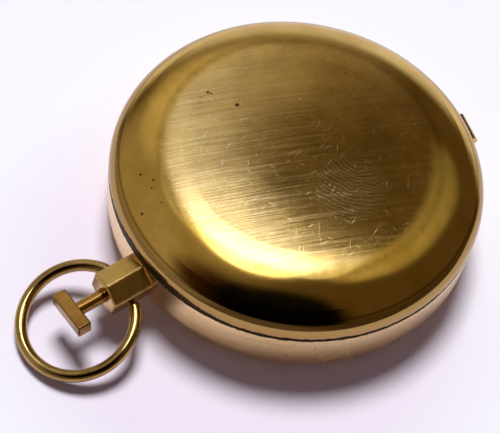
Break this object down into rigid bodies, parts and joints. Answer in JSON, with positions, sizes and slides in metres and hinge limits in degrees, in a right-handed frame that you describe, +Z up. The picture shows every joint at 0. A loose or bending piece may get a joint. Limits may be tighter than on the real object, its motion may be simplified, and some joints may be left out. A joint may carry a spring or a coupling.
{
  "type": "pocket compass",
  "caption": "Round brass hunter-case pocket compass: sprung domed lid on a hinge, push-bar plunger in a hexagonal pendant, swinging ring bow, magnetic needle over a dial under glass.",
  "frame": {"origin": "centre of the flat back that the closed compass rests on", "axes": "+Z up through the lid, +Y out along the pendant and plunger, X across it; the lid hinge is on the far side from the pendant, turned 15.6 degrees from -Y towards -X"},
  "size_m": [0.05, 0.0678, 0.0154],
  "materials": {
    "case_brass": "polished, handled, fine scratches",
    "lid_brass": "polished, handled, fine scratches",
    "fitting_brass": "polished with bright edges",
    "inner_brass": "clean lathe-turned brass",
    "spring_steel": "tempered and brushed",
    "pin_steel": "drawn wire",
    "dial_enamel": "matt cream enamel",
    "needle_blue": "heat-blued steel",
    "dial_glass": "clear polished",
    "jewel": "polished cup jewel"
  },
  "bodies": {
    "case": {"case_body": "case_brass", "pendant": "fitting_brass", "body_knuckles": "fitting_brass", "hinge_pin": "pin_steel", "chamber_ring": "inner_brass", "dial_plate": "dial_enamel", "dial_screws": "pin_steel", "pivot_post": "inner_brass", "pivot_pin": "pin_steel", "glass": "dial_glass", "bezel": "inner_brass", "spring_screws": "pin_steel", "lifter_bridge": "inner_brass", "lifter_axle": "pin_steel"},
    "lid": {"lid": "lid_brass", "lid_knuckle": "fitting_brass", "catch_keeper": "inner_brass"},
    "plunger": {"plunger_rod": "fitting_brass", "plunger_bar": "fitting_brass", "plunger_collar": "inner_brass"},
    "bow": {"bow_ring": "fitting_brass"},
    "needle": {"needle_blade": "needle_blue", "needle_hub": "inner_brass", "needle_jewel": "jewel"},
    "lifter": {"lifter_lever": "spring_steel", "lifter_pin": "inner_brass"},
    "catch": {"catch_spring": "spring_steel"},
    "lift": {"lift_spring": "spring_steel"}
  },
  "joints": [
    {"name": "lid_hinge", "type": "hinge", "parent": "case", "child": "lid", "pos_m": [-0.0067, -0.024, 0.0092], "axis": [0.9632, -0.2689, 0], "range_deg": [0, 110]},
    {"name": "plunger_press", "type": "slide", "parent": "case", "child": "plunger", "axis": [0, -1, 0], "range_m": [0, 0.0012], "stiffness_N_per_m": 800, "springref_m": -0.002},
    {"name": "bow_swing", "type": "hinge", "parent": "case", "child": "bow", "pos_m": [0, 0.02797, 0.00508], "axis": [1, 0, 0], "range_deg": [-73, 135]},
    {"name": "needle_turn", "type": "hinge", "parent": "case", "child": "needle", "pos_m": [0, 0, 0.0057], "axis": [0, 0, 1], "continuous": true},
    {"name": "lifter_tilt", "type": "hinge", "parent": "case", "child": "lifter", "pos_m": [-0.011, 0, 0.00305], "axis": [0, 1, 0], "range_deg": [0, 2.4]},
    {"name": "catch_flex", "type": "hinge", "parent": "case", "child": "catch", "pos_m": [0.0181, 0.01268, 0.006], "axis": [0, 0, 1], "range_deg": [0, 4]},
    {"name": "lift_flex", "type": "hinge", "parent": "case", "child": "lift", "pos_m": [0.01993, -0.00955, 0.006], "axis": [0, 0, 1], "range_deg": [0, 1.5]}
  ],
  "couplings": [
    {"joint": "catch_flex", "follows": "plunger_press", "rad_per_m": 57.4},
    {"joint": "lift_flex", "follows": "lid_hinge", "ratio": 0.01276},
    {"joint": "lifter_tilt", "follows": "lid_hinge", "ratio": 0.02031}
  ]
}
